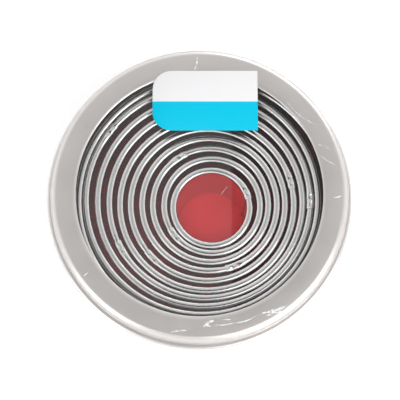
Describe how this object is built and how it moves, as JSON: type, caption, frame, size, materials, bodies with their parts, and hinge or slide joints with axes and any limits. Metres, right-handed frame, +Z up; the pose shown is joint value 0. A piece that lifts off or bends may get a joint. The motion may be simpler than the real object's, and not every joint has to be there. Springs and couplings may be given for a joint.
{
  "type": "nested pastry cutter set",
  "caption": "Round tinplate storage tin with a slip-on window lid, holding plain round steel pastry cutters with rolled rims, nested one inside another",
  "frame": {"origin": "middle of the tin's underside, on the surface it stands on", "axes": "+Z up out of the tin along its axis, +Y from the middle of the lid to the sticker, +X to the right of it"},
  "size_m": [0.1102, 0.1102, 0.0424],
  "materials": {
    "tinplate": "satin, lightly brushed tinplate",
    "cutter_steel": "bright rolled stainless steel",
    "red_card": "smooth coated card",
    "clear_sheet": "thin clear plastic sheet",
    "adhesive": "dried clear glue",
    "clear_film": "tight clear shrink film",
    "sticker_paper": "coated paper, upper half white and lower half cyan"
  },
  "bodies": {
    "tin": {"tin_body": "tinplate", "tin_bottom": "tinplate", "base_liner": "red_card"},
    "lid": {"lid_shell": "tinplate", "window_pane": "clear_sheet", "pane_adhesive": "adhesive", "lid_film": "clear_film", "label": "sticker_paper"},
    "cutter_01": {"cutter_01": "cutter_steel"},
    "cutter_02": {"cutter_02": "cutter_steel"},
    "cutter_03": {"cutter_03": "cutter_steel"},
    "cutter_04": {"cutter_04": "cutter_steel"},
    "cutter_05": {"cutter_05": "cutter_steel"},
    "cutter_06": {"cutter_06": "cutter_steel"},
    "cutter_07": {"cutter_07": "cutter_steel"},
    "cutter_08": {"cutter_08": "cutter_steel"},
    "cutter_09": {"cutter_09": "cutter_steel"},
    "cutter_10": {"cutter_10": "cutter_steel"},
    "cutter_11": {"cutter_11": "cutter_steel"}
  },
  "joints": [
    {"name": "lid_lift", "type": "slide", "parent": "tin", "child": "lid", "axis": [0, 0, 1], "range_m": [0, 0.2]},
    {"name": "cutter_01_lift", "type": "slide", "parent": "tin", "child": "cutter_01", "axis": [0, 0, 1], "range_m": [0, 0.15]},
    {"name": "cutter_02_lift", "type": "slide", "parent": "tin", "child": "cutter_02", "axis": [0, 0, 1], "range_m": [0, 0.14]},
    {"name": "cutter_03_lift", "type": "slide", "parent": "tin", "child": "cutter_03", "axis": [0, 0, 1], "range_m": [0, 0.13]},
    {"name": "cutter_04_lift", "type": "slide", "parent": "tin", "child": "cutter_04", "axis": [0, 0, 1], "range_m": [0, 0.12]},
    {"name": "cutter_05_lift", "type": "slide", "parent": "tin", "child": "cutter_05", "axis": [0, 0, 1], "range_m": [0, 0.11]},
    {"name": "cutter_06_lift", "type": "slide", "parent": "tin", "child": "cutter_06", "axis": [0, 0, 1], "range_m": [0, 0.1]},
    {"name": "cutter_07_lift", "type": "slide", "parent": "tin", "child": "cutter_07", "axis": [0, 0, 1], "range_m": [0, 0.09]},
    {"name": "cutter_08_lift", "type": "slide", "parent": "tin", "child": "cutter_08", "axis": [0, 0, 1], "range_m": [0, 0.08]},
    {"name": "cutter_09_lift", "type": "slide", "parent": "tin", "child": "cutter_09", "axis": [0, 0, 1], "range_m": [0, 0.07]},
    {"name": "cutter_10_lift", "type": "slide", "parent": "tin", "child": "cutter_10", "axis": [0, 0, 1], "range_m": [0, 0.06]},
    {"name": "cutter_11_lift", "type": "slide", "parent": "tin", "child": "cutter_11", "axis": [0, 0, 1], "range_m": [0, 0.05]}
  ],
  "couplings": [
    {"joint": "cutter_01_lift", "follows": "lid_lift", "ratio": 0.75},
    {"joint": "cutter_02_lift", "follows": "lid_lift", "ratio": 0.7},
    {"joint": "cutter_03_lift", "follows": "lid_lift", "ratio": 0.65},
    {"joint": "cutter_04_lift", "follows": "lid_lift", "ratio": 0.6},
    {"joint": "cutter_05_lift", "follows": "lid_lift", "ratio": 0.55},
    {"joint": "cutter_06_lift", "follows": "lid_lift", "ratio": 0.5},
    {"joint": "cutter_07_lift", "follows": "lid_lift", "ratio": 0.45},
    {"joint": "cutter_08_lift", "follows": "lid_lift", "ratio": 0.4},
    {"joint": "cutter_09_lift", "follows": "lid_lift", "ratio": 0.35},
    {"joint": "cutter_10_lift", "follows": "lid_lift", "ratio": 0.3},
    {"joint": "cutter_11_lift", "follows": "lid_lift", "ratio": 0.25}
  ]
}
